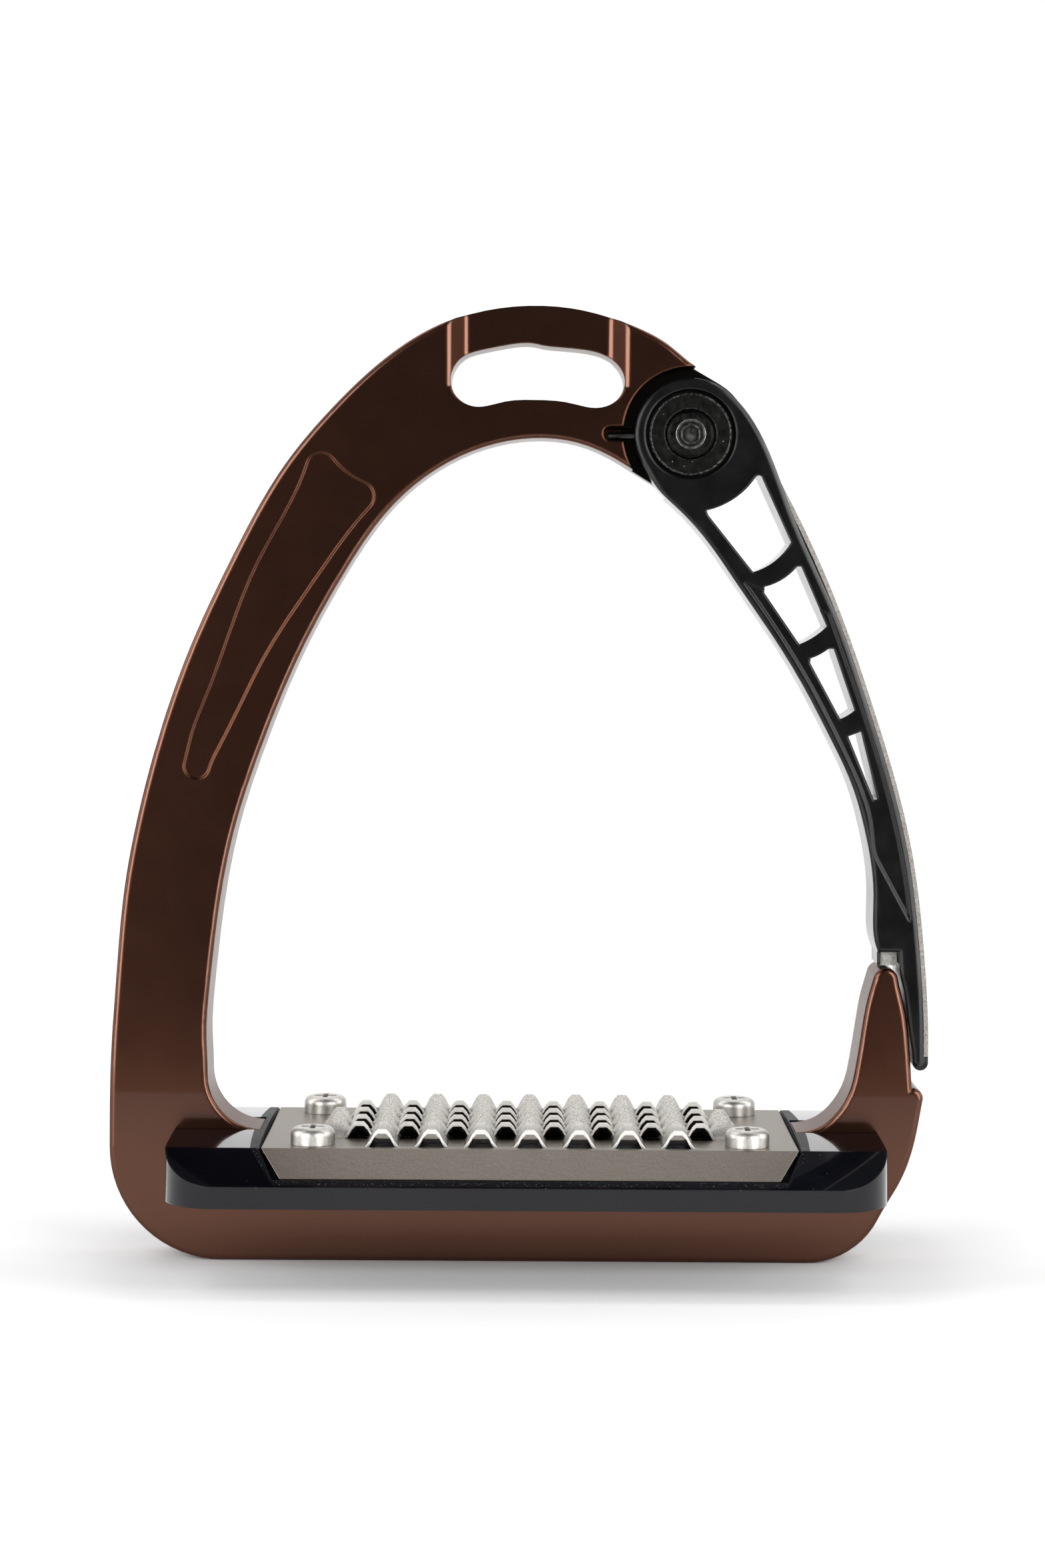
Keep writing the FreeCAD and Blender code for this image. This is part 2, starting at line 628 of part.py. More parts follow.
def make_pivot():
    """The bush and screw that the arm turns on, its bearing and washers, and the nut behind the lug."""
    cap_front = size["cap_front"]
    seat = cap_front + 1.6
    bush = turned(
        "pivot_bush",
        (("add", "cap_radius", "Sheet.cap_front", "Sheet.cap_front + Sheet.cap_thick"),
         ("add", "barrel_radius", "Sheet.cap_front + 1", "Sheet.lug_face"),
         ("cut", "head_seat", "Sheet.cap_front", str(seat)),
         ("cut", "thread_bore", "Sheet.cap_front", "Sheet.lug_face + 1")),
        ((size["cap_radius"], cap_front, 0.4), (size["head_seat"], cap_front, 0.25)),
    )
    head_front = -6.6
    screw = turned(
        "pivot_screw",
        (("add", "head_radius", str(head_front), str(seat)),
         ("add", "bolt_radius", str(seat - 0.5), "6.4")),
        ((size["head_radius"], head_front, 0.6),),
    )
    socket = new_sketch(screw, "pivot_socket", "XZ_Plane", str(-head_front))
    hexagon(socket, pivot, size["hex_width"], 30)
    pocket(screw, socket, "1.4")
    mouth = new_sketch(screw, "pivot_socket_mouth", "XZ_Plane", str(-head_front))
    add_circle(mouth, pivot, 2.7)
    pocket(screw, mouth, "0.2")

    thrust = turned(
        "thrust_washer",
        (("add", 5.8, "Sheet.hub_back + 0.05", "Sheet.lug_face"),
         ("cut", 4.1, "Sheet.hub_back + 0.05", "Sheet.lug_face + 1")),
    )
    behind_flange = "Sheet.cap_front + Sheet.cap_thick + 0.1"
    bearing = turned(
        "arm_bearing",
        (("add", "bearing_radius", behind_flange, "Sheet.hub_back"),
         ("cut", size["barrel_radius"] + size["bearing_gap"], behind_flange, "1")),
    )
    washer = turned(
        "pivot_washer",
        (("add", "washer_radius", "Sheet.frame_depth / 2 - Sheet.nut_sink", NUT_FACE),
         ("cut", "bolt_hole", "Sheet.frame_depth / 2 - Sheet.nut_sink", NUT_FACE + " + 1")),
    )

    nut = new_body("pivot_nut")
    flats = new_sketch(nut, "nut_flats", "XZ_Plane", f"-({NUT_FACE})")
    hexagon(flats, pivot, size["nut_width"], 0)
    pad(nut, flats, "2.7", back=True)
    bore = new_sketch(nut, "nut_bore", "XZ_Plane", f"-({NUT_FACE})")
    add_circle(bore, pivot, size["thread_bore"])
    pocket(nut, bore, "4")
    return bush, screw, thrust, bearing, washer, nut


def make_spring():
    """A torsion spring: its back leg lies in the frame's notch and its front leg in the arm's slot."""
    back = size["spring_sink"] - size["wire_radius"]
    rise = size["coil_pitch"] * SPRING_TURNS
    turn = FreeCAD.Rotation(V(1, 0, 0), 90).multiply(FreeCAD.Rotation(V(0, 0, 1), SPRING_START))
    coil = doc.addObject("Part::Helix", "spring_coil")
    coil.setExpression("Pitch", "Sheet.coil_pitch")
    coil.setExpression("Height", f"Sheet.coil_pitch * {SPRING_TURNS}")
    coil.setExpression("Radius", "Sheet.coil_radius")
    coil.Placement = FreeCAD.Placement(V(pivot[0], back, pivot[1]), turn)
    first = polar(pivot, size["coil_radius"], SPRING_START)
    last = polar(pivot, size["coil_radius"], SPRING_END)
    section = doc.addObject("Part::Circle", "spring_wire")
    section.setExpression("Radius", "Sheet.wire_radius")
    heading = V(0, -size["coil_pitch"] / (2 * math.pi * size["coil_radius"]), -1)
    section.Placement = FreeCAD.Placement(V(first[0], back, first[1]), FreeCAD.Rotation(V(0, 0, 1), heading))
    winding = doc.addObject("Part::Sweep", "spring_winding")
    winding.Sections = [section]
    winding.Spine = (coil, [])
    winding.Solid = True
    winding.Frenet = True
    pieces = [winding]
    for name, corner, y, angle, reach in (
            ("back", first, back, SPRING_START, 15.0), ("front", last, back - rise, SPRING_END, 10.5)):
        outward = V(math.cos(math.radians(angle)), 0, math.sin(math.radians(angle)))
        place = (corner[0], y, corner[1])
        length = f"{reach} - Sheet.coil_radius"
        pieces.append(cylinder(f"spring_leg_{name}", "Sheet.wire_radius", length, place, outward))
        bend = doc.addObject("Part::Sphere", f"spring_bend_{name}")
        bend.setExpression("Radius", "Sheet.wire_radius")
        bend.Placement = FreeCAD.Placement(V(*place), FreeCAD.Rotation())
        pieces.append(bend)
    return joined("Part::MultiFuse", "arm_spring", pieces)


# ---------------------------------------------------------------- footbed

PLATE_FALL = 0.62  # how steeply the front and back slopes fall
SLOPE_FOOT = size["tread_reach"] + (size["tread_top"] - size["skirt_bottom"]) / PLATE_FALL
middle = size["tread_middle"]


def slope_point(depth, below=0.0):
    """A point on the slope at that depth from the middle, moved square to the slope into the body."""
    rise = size["tread_top"] - (depth - size["tread_reach"]) * PLATE_FALL
    length = math.hypot(1, PLATE_FALL)
    return (depth - below * PLATE_FALL / length, rise - below / length)


def bend_point(below):
    """The bend between the flat top and the slope, for a surface that lies this far below."""
    tilt = math.atan(PLATE_FALL)
    return (size["tread_reach"] - below * math.tan(tilt / 2), size["tread_top"] - below)


def mirrored(points):
    """The right half of a section from the bottom up, followed by its mirror image."""
    return (*points, *((-across, up) for across, up in reversed(points)))


def prism(name, plane, points, offset, length):
    """A tool body: a polygon pushed through, half each way."""
    body = new_body(name)
    sketch = new_sketch(body, name + "_outline", plane, offset)
    add_polygon(sketch, points)
    pad(body, sketch, length, both_ways=True)
    return body


def end_trapezoid(name, extra_top, extra_bottom, depth):
    """Between two ends that lean in as they go down, as the plate's skirts do."""
    low_half = 44.2
    top = size["tread_top"]
    low = size["skirt_bottom"]
    lean_top = size["tread_half"] + extra_top
    lean_low = low_half + extra_bottom
    lean = (lean_top - lean_low) / (top - low)
    heights = (low - 3, top, top + 4)
    halves = [lean_low + (min(z, top) - low) * lean for z in heights]
    points = [(middle + half, z) for half, z in zip(halves, heights)]
    points += [(middle - half, z) for half, z in reversed(list(zip(halves, heights)))]
    return prism(name, "XZ_Plane", points, "0", str(depth))


BED_SCREW_SEAT = 19.4  # height of the face that each footbed screw's washer bears on


def make_footbed_body():
    """The moulded body: it is dropped over the bar of the frame, between the legs."""
    body = new_body("footbed_blank")
    section = new_sketch(body, "body_section", "YZ_Plane", "Sheet.body_middle")
    half = size["body_depth"] / 2
    crown = 24.2
    add_outline(
        section, (-half, size["body_bottom"]),
        ("line", (half, size["body_bottom"])),
        ("line", slope_point(half)),
        ("line", (size["tread_reach"], size["tread_top"])),
        ("arc", (0, crown), (-size["tread_reach"], size["tread_top"])),
        ("line", (-half, slope_point(half)[1])),
        ("line", (-half, size["body_bottom"])),
    )
    pad(body, section, "Sheet.body_length", both_ways=True)

    corners = new_sketch(body, "body_corners", "XY_Plane", "30")
    left = size["body_middle"] - size["body_length"] / 2
    right = size["body_middle"] + size["body_length"] / 2
    bend = size["body_corner"]
    slant = bend * (1 - math.sqrt(0.5))
    beyond = 3.0
    for x, inward_x in ((left, 1), (right, -1)):
        for y, inward_y in ((-half, 1), (half, -1)):
            add_outline(
                corners, (x, y + inward_y * bend),
                ("arc", (x + inward_x * slant, y + inward_y * slant), (x + inward_x * bend, y)),
                ("line", (x + inward_x * bend, y - inward_y * beyond)),
                ("line", (x - inward_x * beyond, y - inward_y * beyond)),
                ("line", (x - inward_x * beyond, y + inward_y * bend)),
                ("line", (x, y + inward_y * bend)),
            )
    pocket(body, corners, "20")

    roof = 17.05
    channel_half = 6.9
    under = new_sketch(body, "bar_channel", "YZ_Plane", "Sheet.body_middle")
    add_box(under, -channel_half, channel_half, size["body_bottom"] - 1, roof)
    pocket(body, under, "Sheet.body_length + 2", both_ways=True)

    ends = new_sketch(body, "shoulder_channels", "XY_Plane", "Sheet.body_bottom")
    end_play = 0.2
    add_box(ends, left - 1, size["shoulder_left"] + end_play, -channel_half, channel_half)
    add_box(ends, size["shoulder_right"] - end_play, right + 1, -channel_half, channel_half)
    pocket(body, ends, "20", back=True)

    cells = new_sketch(body, "underside_cells", "XY_Plane", "Sheet.body_bottom")
    cell_ends = ((-57.5, -46.0), (-33.0, -18.5), (-16.5, -0.8), (0.8, 16.5), (18.5, 33.0), (46.0, 57.5))
    for low_x, high_x in cell_ends:
        for low_y, high_y in ((-27.0, -9.2), (9.2, 27.0)):
            add_box(cells, middle + low_x, middle + high_x, low_y, high_y)
    pocket(body, cells, "3", back=True)

    counterbores = new_sketch(body, "footbed_counterbores", "XY_Plane", "Sheet.tread_top + 3")
    clearances = new_sketch(body, "footbed_clearances", "XY_Plane", "Sheet.tread_top + 3")
    for side in (-1, 1):
        place = (middle + side * size["footbed_screw_across"], 0)
        add_circle(counterbores, place, size["washer_radius"] + 0.6)
        add_circle(clearances, place, size["bolt_hole"] + 0.15)
    pocket(body, counterbores, f"Sheet.tread_top + 3 - {BED_SCREW_SEAT}")
    pocket(body, clearances, "20")

    inserts = new_sketch(body, "insert_holes", "XY_Plane", "Sheet.tread_top")
    for place in tread_screw_places():
        add_circle(inserts, place, size["insert_radius"])
    pocket(body, inserts, "Sheet.sheet + Sheet.insert_depth")

    bed_play = 0.08
    below = size["sheet"] + bed_play
    foot = SLOPE_FOOT + 0.35
    floor = mirrored((slope_point(foot, below), bend_point(below)))
    walls = ((-foot, slope_point(foot)[1]), (-foot, 30.0), (foot, 30.0), slope_point(foot))
    recess_section = prism("recess_section", "YZ_Plane", (*floor, *walls), "0", "160")
    recess_ends = end_trapezoid("recess_ends", 0.5, 1.5, 80)
    recess = joined("Part::MultiCommon", "tread_recess", [recess_section, recess_ends])

    pit_half_long = 36.0
    pit_half_deep = 20.8
    pit = doc.addObject("Part::Box", "tooth_pit")
    pit.setExpression("Length", str(2 * pit_half_long))
    pit.setExpression("Width", str(2 * pit_half_deep))
    pit.setExpression("Height", "3")
    pit.setExpression(".Placement.Base.x", f"Sheet.tread_middle - {pit_half_long}")
    pit.setExpression(".Placement.Base.y", str(-pit_half_deep))
    pit.setExpression(".Placement.Base.z", "Sheet.tread_top - Sheet.sheet - 1.25")
    return cut("footbed_body", cut("footbed_recessed", body, recess), pit)


def tread_screw_places():
    return [(middle + side * size["screw_across"], end * size["screw_deep"])
            for side in (-1, 1) for end in (-1, 1)]


# The field of teeth: five strips, each (front edge, back edge, columns in front, columns behind).
EVEN = tuple(k + 0.5 for k in range(-4, 4))
ODD = tuple(range(-4, 5))
SHORT = ODD[1:-1]
STRIPS = ((-20.4, -12.0, SHORT, SHORT), (-12.0, -4.0, EVEN, ODD), (-4.0, 4.0, EVEN, ODD),
          (4.0, 12.0, EVEN, SHORT), (12.0, 20.0, EVEN, SHORT))
FIELD_WIDE = 38.6
FIELD_FRONT = 32.6
FIELD_BACK = 34.4
FIELD_OPENING = -21.0  # the pierced opening starts a little in front of the first strip
SLIT = 0.09
TOOTH_FOOT = 3.1
TOOTH_TIP = 0.7
SHANK = 1.95
SHANK_HOLE = 2.25


def tooth_height(across, columns):
    """Height of the pressed strip over the flat plate, at a distance from the plate's middle."""
    height = 0.0
    for column in columns:
        away = abs(across - column * size["tooth_pitch"])
        part = min(max((TOOTH_FOOT - away) / (TOOTH_FOOT - TOOTH_TIP), 0.0), 1.0)
        height += size["tooth_rise"] * part * part * (3 - 2 * part)
    return height


def tooth_edge(y, columns, half):
    """The closed outline of one edge of a pressed strip."""
    step = size["tooth_pitch"] / 12
    inner = int((half - step / 2) / step)
    xs = [-half, *(k * step for k in range(-inner, inner + 1)), half]
    top = [V(middle + x, y, size["tread_top"] + tooth_height(x, columns)) for x in xs]
    underside = [point - V(0, 0, size["sheet"]) for point in reversed(top)]
    return Part.makePolygon([*top, *underside, top[0]])


def make_tread():
    """A plate of stainless sheet, bent down in front and behind, with rows of pressed teeth."""
    body_top = mirrored((slope_point(SLOPE_FOOT), (size["tread_reach"], size["tread_top"])))
    thick = size["sheet"]
    underside = mirrored((slope_point(SLOPE_FOOT, thick), bend_point(thick)))
    bent = prism("tread_bent", "YZ_Plane", (*body_top, *reversed(underside)), "0", "160")
    trimmed = joined("Part::MultiCommon", "tread_trimmed", [bent, end_trapezoid("tread_ends", 0.0, 0.0, 80)])

    field = new_body("tread_field")
    outline = new_sketch(field, "field_outline", "XY_Plane", "Sheet.tread_top")
    halves = (FIELD_FRONT, FIELD_WIDE, FIELD_WIDE, FIELD_BACK, FIELD_BACK)
    wide_front = STRIPS[1][0]
    wide_back = STRIPS[3][0]
    field_end = STRIPS[4][1]
    half_plan = ((FIELD_FRONT, FIELD_OPENING), (FIELD_FRONT, wide_front), (FIELD_WIDE, wide_front),
                 (FIELD_WIDE, wide_back), (FIELD_BACK, wide_back), (FIELD_BACK, field_end))
    right = [(middle + across, y) for across, y in half_plan]
    left = [(middle - across, y) for across, y in reversed(half_plan)]
    add_polygon(outline, [*right, *left])
    pad(field, outline, "6", both_ways=True)
    pierced = cut("tread_pierced", trimmed, field)
    drills = []
    for number, (x, y) in enumerate(tread_screw_places()):
        place = (x, y, "Sheet.tread_top - 3")
        drills.append(cylinder(f"tread_drill_{number}", str(SHANK_HOLE), "6", place, V(0, 0, 1)))
    drilled = cut("tread_drilled", pierced, joined("Part::MultiFuse", "tread_drills", drills))

    strips = []
    for number, ((front, back, near, far), half) in enumerate(zip(STRIPS, halves)):
        edges = [tooth_edge(front + SLIT, near, half), tooth_edge(back - SLIT, far, half)]
        strip = doc.addObject("Part::Feature", f"tooth_strip_{number}")
        strip.Shape = Part.makeLoft(edges, True, True)
        strips.append(strip)
    plate = joined("Part::MultiFuse", "tread_plate", [drilled, *strips])
    plate.Refine = False
    return plate


def copies(label, base, places):
    """The same piece in several places, in one node."""
    links = []
    for number, place in enumerate(places):
        link = doc.addObject("App::Link", f"{label}_{number}")
        link.LinkedObject = base
        link.Placement = FreeCAD.Placement(V(*place), FreeCAD.Rotation())
        links.append(link)
    group = doc.addObject("Part::Compound", label)
    group.Links = links
    return group


def upright(label, discs):
    """A round piece standing on the origin's vertical. Each disc is (kind, radius, low, high)."""
    body = new_body(label)
    for number, (kind, radius, low, high) in enumerate(discs):
        sketch = new_sketch(body, f"{label}_{number}", "XY_Plane", f"{low}")
        add_circle(sketch, (0, 0), radius)
        if kind == "add":
            pad(body, sketch, f"({high}) - ({low})")
        else:
            pocket(body, sketch, f"({high}) - ({low})", back=True)
    return body


def make_footbed_fasteners():
    tread_places = [(x, y, size["tread_top"]) for x, y in tread_screw_places()]
    head = 3.1
    screw = upright("tread_screw", (("add", 4.0, 0, head), ("add", SHANK, -8, 0.5)))
    cross = new_sketch(screw, "tread_screw_cross", "XY_Plane", str(head))
    half_slot = 0.5
    reach = 2.1
    add_polygon(cross, [
        (half_slot, -reach), (half_slot, -half_slot), (reach, -half_slot), (reach, half_slot),
        (half_slot, half_slot), (half_slot, reach), (-half_slot, reach), (-half_slot, half_slot),
        (-reach, half_slot), (-reach, -half_slot), (-half_slot, -half_slot), (-half_slot, -reach)])
    dress(screw, "Fillet", screw.Tip, edges_where(screw.Tip.Shape, lambda p: abs(p.z - head) < 1e-4), "1.3")
    pocket(screw, cross, "1.7")
    tread_screws = copies("tread_screws", screw, tread_places)

    insert = upright(
        "tread_insert", (("add", size["insert_radius"], -7.95, -0.95), ("cut", SHANK + 0.05, -7.95, -0.9)))
    tread_inserts = copies("tread_inserts", insert, tread_places)

    bed_places = [(middle + side * size["footbed_screw_across"], 0, BED_SCREW_SEAT) for side in (-1, 1)]
    under_head = 0.9
    bolt_top = 3.1
    bolt = upright(
        "footbed_screw", (("add", 4.75, under_head, bolt_top), ("add", size["bolt_radius"], -15.4, 1.0)))
    socket = new_sketch(bolt, "footbed_socket", "XY_Plane", str(bolt_top))
    hexagon(socket, (0, 0), 3.0, 0)
    pocket(bolt, socket, "1.6")
    footbed_screws = copies("footbed_screws", bolt, bed_places)
    discs = (("add", size["washer_radius"], 0, under_head), ("cut", size["bolt_hole"], -0.1, 1.0))
    washer = upright("footbed_washer", discs)
    footbed_washers = copies("footbed_washers", washer, bed_places)
    return tread_screws, tread_inserts, footbed_screws, footbed_washers


# ---------------------------------------------------------------- run

def finish(parts):
    doc.recompute()
    for item in doc.Objects:
        if "Invalid" in item.State or "Error" in item.State:
            raise RuntimeError(f"{item.Name} is {item.State}")
    os.makedirs("parts", exist_ok=True)
    for part in parts:
        if part.Shape.isNull() or not part.Shape.isValid():
            raise RuntimeError(f"{part.Label} has no valid shape")
        part.Shape.exportStep(f"parts/{part.Label}.step")
        print(f"{part.Label}: {len(part.Shape.Solids)} solid(s), {part.Shape.Volume:.1f} mm3")


finish([make_frame(), make_arm(), make_strip(), make_stop_pad(), *make_pivot(), make_spring(),
        make_footbed_body(), make_tread(), *make_footbed_fasteners()])
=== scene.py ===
import json
import math

import bpy
from mathutils import Matrix, Vector


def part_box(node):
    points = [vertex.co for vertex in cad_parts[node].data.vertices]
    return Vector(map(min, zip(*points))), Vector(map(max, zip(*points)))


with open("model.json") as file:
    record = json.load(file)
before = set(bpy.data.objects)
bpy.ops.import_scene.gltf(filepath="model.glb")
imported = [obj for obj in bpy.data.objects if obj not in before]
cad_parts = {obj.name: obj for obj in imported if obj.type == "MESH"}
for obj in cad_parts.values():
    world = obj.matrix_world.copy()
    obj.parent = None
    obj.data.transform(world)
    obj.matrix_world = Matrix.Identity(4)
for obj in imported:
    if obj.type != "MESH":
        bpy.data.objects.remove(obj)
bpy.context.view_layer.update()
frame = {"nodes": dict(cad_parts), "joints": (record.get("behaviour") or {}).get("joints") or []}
nodes = frame["nodes"]
MM = 0.001

hinge = frame["joints"][0]["pos_m"]
plate_low, plate_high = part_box("tread_plate")
plate_middle = (plate_low.x + plate_high.x) / 2
plate_half = (plate_high.x - plate_low.x) / 2

# Places on the object that the materials follow.
HUB_SEAT_REACH = 12.7 * MM  # just over the radius of the frame's round seat behind the arm's hub
HUB_SEAT_FACE = -6.3 * MM  # the frame's surfaces within that reach and behind this are in the seat
BUSH_SPAN = 8.0 * MM  # span of the rings on the bush, just past the rim of its flange
SCREW_SPAN = 4.0 * MM  # span of the rings on the pivot screw, just inside the rim of its head
TREAD_FACE = 23.5 * MM  # height of the flat between the teeth
TOOTH_HEIGHT = 3.15 * MM
TOOTH_ROW = 8.0 * MM  # depth of a row of teeth, front to back
FRONT_ROW_END = -12.0 * MM  # back of the front row
CUT_EDGE_LOW = 22.5 * MM  # cut edges that show are above this
PLATE_FOOT = 19.3 * MM  # height of the plate's lower edge
PLATE_FOOT_HALF = 44.2 * MM  # half of its length there
WALL_MARGIN = 2.0 * MM  # width of the rough wall beside the plate
WALL_LOW = 18.4 * MM  # the rough wall starts at this height


# ---------------------------------------------------------------- material helpers

class Surface:
    """A Principled material, with short calls for the nodes that feed it."""

    def __init__(self, name, **plain):
        self.material = bpy.data.materials.new(name)
        self.material.use_nodes = True
        self.tree = self.material.node_tree
        self.shader = self.tree.nodes["Principled BSDF"]
        for socket, value in plain.items():
            self.shader.inputs[socket.replace("_", " ")].default_value = value
        self.place = self.node("ShaderNodeTexCoord").outputs["Object"]

    def node(self, kind, links=(), **settings):
        made = self.tree.nodes.new(kind)
        for key, value in settings.items():
            setattr(made, key, value)
        for socket, source in links:
            if isinstance(source, bpy.types.NodeSocket):
                self.tree.links.new(source, made.inputs[socket])
            else:
                made.inputs[socket].default_value = source
        return made

    def maths(self, operation, *values, clamp=False):
        made = self.node("ShaderNodeMath", list(enumerate(values)), operation=operation, use_clamp=clamp)
        return made.outputs[0]

    def axes(self):
        """The three coordinates in metres, in the object's own frame."""
        return self.node("ShaderNodeSeparateXYZ", [(0, self.place)]).outputs

    def noise(self, size, detail=3.0, rough=0.5, stretch=(1, 1, 1)):
        """Noise whose blobs are about this many metres across."""
        mapped = self.node("ShaderNodeMapping", [("Vector", self.place), ("Scale", stretch)]).outputs[0]
        links = [("Vector", mapped), ("Scale", 1 / size), ("Detail", detail), ("Roughness", rough)]
        return self.node("ShaderNodeTexNoise", links).outputs["Fac"]

    def cells(self, size):
        """Distance to the nearest of scattered points this many metres apart, in parts of that."""
        links = [("Vector", self.place), ("Scale", 1 / size)]
        return self.node("ShaderNodeTexVoronoi", links, feature="F1").outputs["Distance"]

    def ramp(self, value, *stops):
        """A value or colour ramp. Each stop is (position, grey or RGB)."""
        made = self.node("ShaderNodeValToRGB", [("Fac", value)])
        elements = made.color_ramp.elements
        while len(elements) < len(stops):
            elements.new(0.5)
        for element, (position, colour) in zip(elements, stops):
            element.position = position
            rgb = (colour,) * 3 if isinstance(colour, (int, float)) else colour
            element.color = (*rgb, 1)
        return made.outputs[0]

    def blend(self, share, low, high):
        """Mixes two colours, each an RGB or an output."""
        made = self.node("ShaderNodeMix", data_type="RGBA")
        for socket, source in ((0, share), (6, low), (7, high)):
            if isinstance(source, bpy.types.NodeSocket):
                self.tree.links.new(source, made.inputs[socket])
            else:
                made.inputs[socket].default_value = source if socket == 0 else (*source, 1)
        return made.outputs[2]

    def set(self, socket, output):
        self.tree.links.new(output, self.shader.inputs[socket])

    def normal(self, height, depth, edge=0.0):
        """A bump of this depth in metres, over edges softened by a small radius."""
        links = [("Height", height), ("Distance", depth), ("Strength", 1.0)]
        if edge:
            links.append(("Normal", self.node("ShaderNodeBevel", [("Radius", edge)], samples=6).outputs[0]))
        self.set("Normal", self.node("ShaderNodeBump", links).outputs[0])


def paint(surface, *names):
    """Gives the surface to CAD nodes."""
    for name in names:
        slots = nodes[name].material_slots
        for slot in slots:
            slot.material = surface.material
        if not slots:
            nodes[name].data.materials.append(surface.material)


def hinge_radius(s, x, z):
    """Distance from the hinge's axis."""
    across = s.maths("SUBTRACT", x, hinge[0])
    up = s.maths("SUBTRACT", z, hinge[2])
    squares = s.maths("MULTIPLY_ADD", across, across, s.maths("MULTIPLY", up, up))
    return s.maths("SQRT", squares)


# ---------------------------------------------------------------- materials

def bronze_lacquer():
    """Dark bronze metallic lacquer: fine flakes under a clear coat, and painted shade in the hub's seat."""
    tint = (0.45, 0.40, 0.38, 1)
    s = Surface("bronze_lacquer", Metallic=1.0, Specular_Tint=tint, Coat_Weight=0.35, Coat_Roughness=0.03)
    broad = s.noise(24 * MM, 2.0)
    body = s.blend(broad, (0.104, 0.042, 0.025), (0.116, 0.047, 0.028))
    flakes = s.ramp(s.cells(0.16 * MM), (0.12, 1.0), (0.42, 0.0))
    glint = s.blend(s.maths("MULTIPLY", flakes, 0.22), body, (0.22, 0.115, 0.08))
    x, y, z = s.axes()
    # Painted shade: the frame's faces inside the hub's round seat are coloured near black, as if in the shade
    # of the hub.
    near_hub = s.maths("LESS_THAN", hinge_radius(s, x, z), HUB_SEAT_REACH)
    sunk = s.maths("GREATER_THAN", y, HUB_SEAT_FACE)
    s.set("Base Color", s.blend(s.maths("MULTIPLY", near_hub, sunk), glint, (0.016, 0.012, 0.010)))
    s.set("Roughness", s.ramp(s.noise(7 * MM, 4.0), (0.3, 0.215), (0.7, 0.235)))
    s.normal(s.noise(0.35 * MM, 2.0), 0.0006 * MM, 0.6 * MM)
    return s


def black_arm():
    """Black semi-gloss finish on a casting, with a faint orange peel and dulled patches."""
    s = Surface("black_arm", Metallic=0.0, Specular_IOR_Level=0.4, Coat_Weight=0.2, Coat_Roughness=0.06)
    patches = s.noise(5 * MM, 5.0, 0.6)
    s.set("Base Color", s.ramp(patches, (0.3, (0.0025, 0.0025, 0.0027)), (0.75, (0.006, 0.006, 0.0063))))
    s.set("Roughness", s.ramp(patches, (0.3, 0.12), (0.72, 0.20)))
    peel = s.maths("ADD", s.noise(0.8 * MM, 3.0), s.maths("MULTIPLY", s.noise(0.12 * MM, 2.0), 0.5))
    s.normal(peel, 0.002 * MM, 0.7 * MM)
    return s


def soft_strip(name, dark, light):
    """Soft compound with a mottled, slightly fibrous face."""
    s = Surface(name, Specular_IOR_Level=0.3)
    coarse = s.noise(0.55 * MM, 6.0, 0.7)
    fine = s.noise(0.16 * MM, 4.0, 0.7, stretch=(1, 0.35, 1))
    both = s.maths("MULTIPLY_ADD", fine, 0.5, s.maths("MULTIPLY", coarse, 0.5))
    mottle = s.ramp(both, (0.38, 0.0), (0.6, 1.0))
    s.set("Base Color", s.blend(mottle, dark, light))
    s.set("Roughness", s.ramp(coarse, (0.3, 0.65), (0.7, 0.9)))
    s.normal(fine, 0.05 * MM, 0.15 * MM)
    return s


def black_bush():
    """Blackened steel with turning marks, specks of dust, and bright rings at the rims of the flange and
    counterbore: partly wear, partly painted edge highlights.
    """
    s = Surface("black_bush", Metallic=0.85)
    x, _, z = s.axes()
    radius = hinge_radius(s, x, z)
    outward = s.node("ShaderNodeCombineXYZ", [(0, radius)]).outputs[0]
    ring_links = [("Vector", outward), ("Scale", 1 / (0.28 * MM)), ("Detail", 2.0)]
    rings = s.node("ShaderNodeTexNoise", ring_links).outputs["Fac"]
    wear = s.noise(1.6 * MM, 6.0, 0.65)
    base = s.ramp(wear, (0.3, (0.007, 0.007, 0.0065)), (0.75, (0.018, 0.0185, 0.017)))
    dust = s.maths("MULTIPLY", s.ramp(s.cells(0.9 * MM), (0.055, 1.0), (0.1, 0.0)),
                   s.ramp(s.noise(2.4 * MM, 2.0), (0.5, 0.0), (0.62, 1.0)))
    share = s.maths("DIVIDE", radius, BUSH_SPAN)
    # Bright rings at the counterbore's rim and the flange's rim: painted edge highlights, broken up by noise
    # like wear.
    edges = s.ramp(share, (0.575, 0.0), (0.585, 0.45), (0.60, 0.45), (0.61, 0.0), (0.90, 0.0), (0.915, 1.0),
                   (0.94, 1.0), (0.955, 0.0))
    wear_and_painted_light = s.maths("MULTIPLY", edges, s.ramp(s.noise(0.45 * MM, 5.0, 0.7), (0.44, 0.05), (0.66, 0.75)))
    bright = s.maths("MAXIMUM", dust, wear_and_painted_light)
    s.set("Base Color", s.blend(bright, base, (0.55, 0.55, 0.50)))
    s.set("Roughness", s.maths("MULTIPLY_ADD", bright, 0.2, s.ramp(wear, (0.3, 0.26), (0.7, 0.40))))
    s.normal(s.maths("ADD", s.maths("MULTIPLY", rings, 0.5), wear), 0.002 * MM, 0.2 * MM)
    return s


